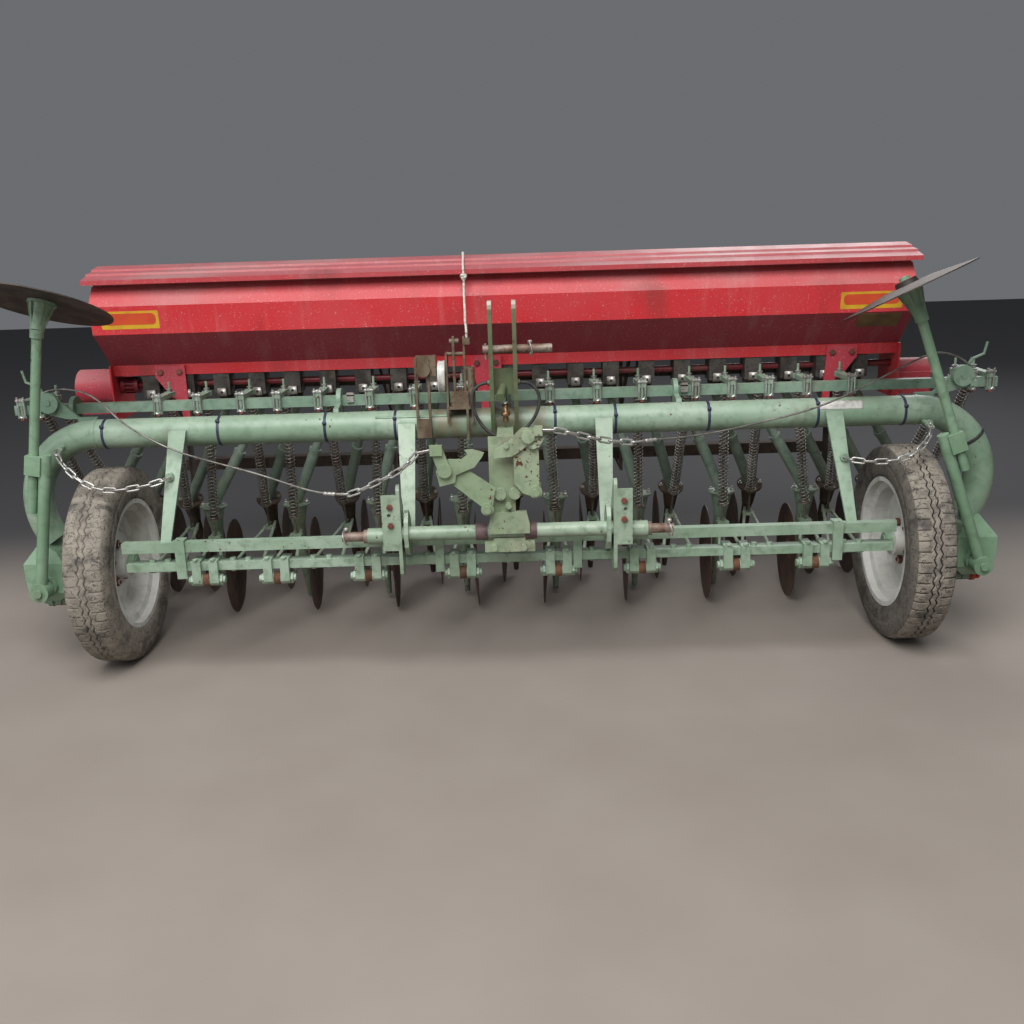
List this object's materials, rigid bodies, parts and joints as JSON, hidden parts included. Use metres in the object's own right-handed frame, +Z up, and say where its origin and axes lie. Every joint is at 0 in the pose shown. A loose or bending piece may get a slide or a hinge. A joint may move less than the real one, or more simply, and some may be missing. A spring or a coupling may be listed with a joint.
{
  "type": "seed drill",
  "caption": "Mounted disc seed drill: portal tube frame on two end wheels, lidded hopper with seed tubes, two rows of sprung single disc coulters and two folded row markers.",
  "frame": {"origin": "on the floor, under the middle of the machine's box at rest", "axes": "+X to the right seen from the front, +Y to the rear, +Z up"},
  "size_m": [3.06, 1.329, 1.212],
  "materials": {
    "bare_steel": "dull, spotted with rust",
    "dull_iron": "dirty and rusty",
    "green_paint": "weathered satin",
    "hose_rubber": "matt",
    "red_paint": "faded and dusty",
    "rope_fibre": "twisted fibre",
    "rusty_steel": "rusty",
    "tube_paint": "dirty satin",
    "tyre_rubber": "dusty with dried soil",
    "white_paint": "worn satin",
    "zinc_plate": "zinc plated, dusty"
  },
  "bodies": {
    "frame": {"portal_tube": "green_paint", "axle_housings": "green_paint", "front_bar": "green_paint", "hitch_frame": "green_paint", "coulter_bar": "green_paint", "hitch_pins": "rusty_steel", "top_link_bars": "green_paint", "centre_plate": "green_paint", "latches": "green_paint", "changeover_unit": "rusty_steel", "coulter_clamps": "green_paint", "coulter_arms": "green_paint", "front_boots": "green_paint", "rear_boots": "dull_iron", "pressure_bar": "green_paint", "pressure_castings": "green_paint", "spring_rods": "bare_steel", "coulter_springs": "bare_steel", "seed_tubes": "tube_paint", "hopper": "red_paint", "hopper_brackets": "red_paint", "feed_units": "zinc_plate", "feed_shaft": "red_paint", "drive_covers": "red_paint", "footboard": "dull_iron", "chains": "rusty_steel", "marker_cable_left": "bare_steel", "marker_cable_right": "bare_steel", "lid_rope": "rope_fibre", "oil_hose": "hose_rubber"},
    "lid": {"hopper_lid": "red_paint"},
    "wheel_left": {"tyre_left": "tyre_rubber", "rim_left": "white_paint"},
    "wheel_right": {"tyre_right": "tyre_rubber", "rim_right": "white_paint"},
    "marker_left": {"marker_arm_left": "green_paint"},
    "marker_right": {"marker_arm_right": "green_paint"},
    "marker_blade_left": {"marker_disc_left": "rusty_steel"},
    "marker_blade_right": {"marker_disc_right": "rusty_steel"},
    "disc_1": {"coulter_disc_1": "rusty_steel"},
    "disc_2": {"coulter_disc_2": "rusty_steel"},
    "disc_3": {"coulter_disc_3": "rusty_steel"},
    "disc_4": {"coulter_disc_4": "rusty_steel"},
    "disc_5": {"coulter_disc_5": "rusty_steel"},
    "disc_6": {"coulter_disc_6": "rusty_steel"},
    "disc_7": {"coulter_disc_7": "rusty_steel"},
    "disc_8": {"coulter_disc_8": "rusty_steel"},
    "disc_9": {"coulter_disc_9": "rusty_steel"},
    "disc_10": {"coulter_disc_10": "rusty_steel"},
    "disc_11": {"coulter_disc_11": "rusty_steel"},
    "disc_12": {"coulter_disc_12": "rusty_steel"},
    "disc_13": {"coulter_disc_13": "rusty_steel"},
    "disc_14": {"coulter_disc_14": "rusty_steel"},
    "disc_15": {"coulter_disc_15": "rusty_steel"},
    "disc_16": {"coulter_disc_16": "rusty_steel"},
    "disc_17": {"coulter_disc_17": "rusty_steel"},
    "disc_18": {"coulter_disc_18": "rusty_steel"},
    "disc_19": {"coulter_disc_19": "rusty_steel"},
    "disc_20": {"coulter_disc_20": "rusty_steel"},
    "disc_21": {"coulter_disc_21": "rusty_steel"}
  },
  "joints": [
    {"name": "lid_hinge", "type": "hinge", "parent": "frame", "child": "lid", "pos_m": [0, 0.3295, 1.16], "axis": [-1, 0, 0], "range_deg": [0, 100]},
    {"name": "wheel_left_spin", "type": "hinge", "parent": "frame", "child": "wheel_left", "pos_m": [-1.228, -0.3205, 0.305], "axis": [1, 0, 0], "continuous": true},
    {"name": "wheel_right_spin", "type": "hinge", "parent": "frame", "child": "wheel_right", "pos_m": [1.228, -0.3205, 0.305], "axis": [1, 0, 0], "continuous": true},
    {"name": "marker_left_fold", "type": "hinge", "parent": "frame", "child": "marker_left", "pos_m": [-1.43, -0.4485, 0.262], "axis": [0, -1, 0], "range_deg": [0, 100]},
    {"name": "marker_blade_left_spin", "type": "hinge", "parent": "marker_left", "child": "marker_blade_left", "pos_m": [-1.31162, -0.41772, 1.12919], "axis": [0.1632, 0.342, 0.9254], "continuous": true},
    {"name": "marker_right_fold", "type": "hinge", "parent": "frame", "child": "marker_right", "pos_m": [1.43, -0.4485, 0.262], "axis": [0, 1, 0], "range_deg": [0, 108]},
    {"name": "marker_blade_right_spin", "type": "hinge", "parent": "marker_right", "child": "marker_blade_right", "pos_m": [1.15582, -0.43133, 1.09669], "axis": [-0.3993, 0.1908, 0.8968], "continuous": true},
    {"name": "disc_1_spin", "type": "hinge", "parent": "frame", "child": "disc_1", "pos_m": [-1.416, 0.2995, 0.165], "axis": [-0.9986, -0.0523, 0], "continuous": true},
    {"name": "disc_2_spin", "type": "hinge", "parent": "frame", "child": "disc_2", "pos_m": [-1.273, 0.2995, 0.165], "axis": [-0.9986, -0.0523, 0], "continuous": true},
    {"name": "disc_3_spin", "type": "hinge", "parent": "frame", "child": "disc_3", "pos_m": [-1.13, 0.2995, 0.165], "axis": [-0.9986, -0.0523, 0], "continuous": true},
    {"name": "disc_4_spin", "type": "hinge", "parent": "frame", "child": "disc_4", "pos_m": [-0.987, 0.0645, 0.165], "axis": [-0.9986, -0.0523, 0], "continuous": true},
    {"name": "disc_5_spin", "type": "hinge", "parent": "frame", "child": "disc_5", "pos_m": [-0.844, 0.2995, 0.165], "axis": [-0.9986, -0.0523, 0], "continuous": true},
    {"name": "disc_6_spin", "type": "hinge", "parent": "frame", "child": "disc_6", "pos_m": [-0.701, 0.0645, 0.165], "axis": [-0.9986, -0.0523, 0], "continuous": true},
    {"name": "disc_7_spin", "type": "hinge", "parent": "frame", "child": "disc_7", "pos_m": [-0.558, 0.2995, 0.165], "axis": [-0.9986, -0.0523, 0], "continuous": true},
    {"name": "disc_8_spin", "type": "hinge", "parent": "frame", "child": "disc_8", "pos_m": [-0.415, 0.0645, 0.165], "axis": [-0.9986, -0.0523, 0], "continuous": true},
    {"name": "disc_9_spin", "type": "hinge", "parent": "frame", "child": "disc_9", "pos_m": [-0.272, 0.2995, 0.165], "axis": [-0.9986, -0.0523, 0], "continuous": true},
    {"name": "disc_10_spin", "type": "hinge", "parent": "frame", "child": "disc_10", "pos_m": [-0.129, 0.0645, 0.165], "axis": [-0.9986, -0.0523, 0], "continuous": true},
    {"name": "disc_11_spin", "type": "hinge", "parent": "frame", "child": "disc_11", "pos_m": [-0.014, 0.2995, 0.165], "axis": [0.9986, -0.0523, 0], "continuous": true},
    {"name": "disc_12_spin", "type": "hinge", "parent": "frame", "child": "disc_12", "pos_m": [0.129, 0.0645, 0.165], "axis": [0.9986, -0.0523, 0], "continuous": true},
    {"name": "disc_13_spin", "type": "hinge", "parent": "frame", "child": "disc_13", "pos_m": [0.272, 0.2995, 0.165], "axis": [0.9986, -0.0523, 0], "continuous": true},
    {"name": "disc_14_spin", "type": "hinge", "parent": "frame", "child": "disc_14", "pos_m": [0.415, 0.0645, 0.165], "axis": [0.9986, -0.0523, 0], "continuous": true},
    {"name": "disc_15_spin", "type": "hinge", "parent": "frame", "child": "disc_15", "pos_m": [0.558, 0.2995, 0.165], "axis": [0.9986, -0.0523, 0], "continuous": true},
    {"name": "disc_16_spin", "type": "hinge", "parent": "frame", "child": "disc_16", "pos_m": [0.701, 0.0645, 0.165], "axis": [0.9986, -0.0523, 0], "continuous": true},
    {"name": "disc_17_spin", "type": "hinge", "parent": "frame", "child": "disc_17", "pos_m": [0.844, 0.2995, 0.165], "axis": [0.9986, -0.0523, 0], "continuous": true},
    {"name": "disc_18_spin", "type": "hinge", "parent": "frame", "child": "disc_18", "pos_m": [0.987, 0.0645, 0.165], "axis": [0.9986, -0.0523, 0], "continuous": true},
    {"name": "disc_19_spin", "type": "hinge", "parent": "frame", "child": "disc_19", "pos_m": [1.13, 0.2995, 0.165], "axis": [0.9986, -0.0523, 0], "continuous": true},
    {"name": "disc_20_spin", "type": "hinge", "parent": "frame", "child": "disc_20", "pos_m": [1.273, 0.2995, 0.165], "axis": [0.9986, -0.0523, 0], "continuous": true},
    {"name": "disc_21_spin", "type": "hinge", "parent": "frame", "child": "disc_21", "pos_m": [1.416, 0.2995, 0.165], "axis": [0.9986, -0.0523, 0], "continuous": true}
  ]
}
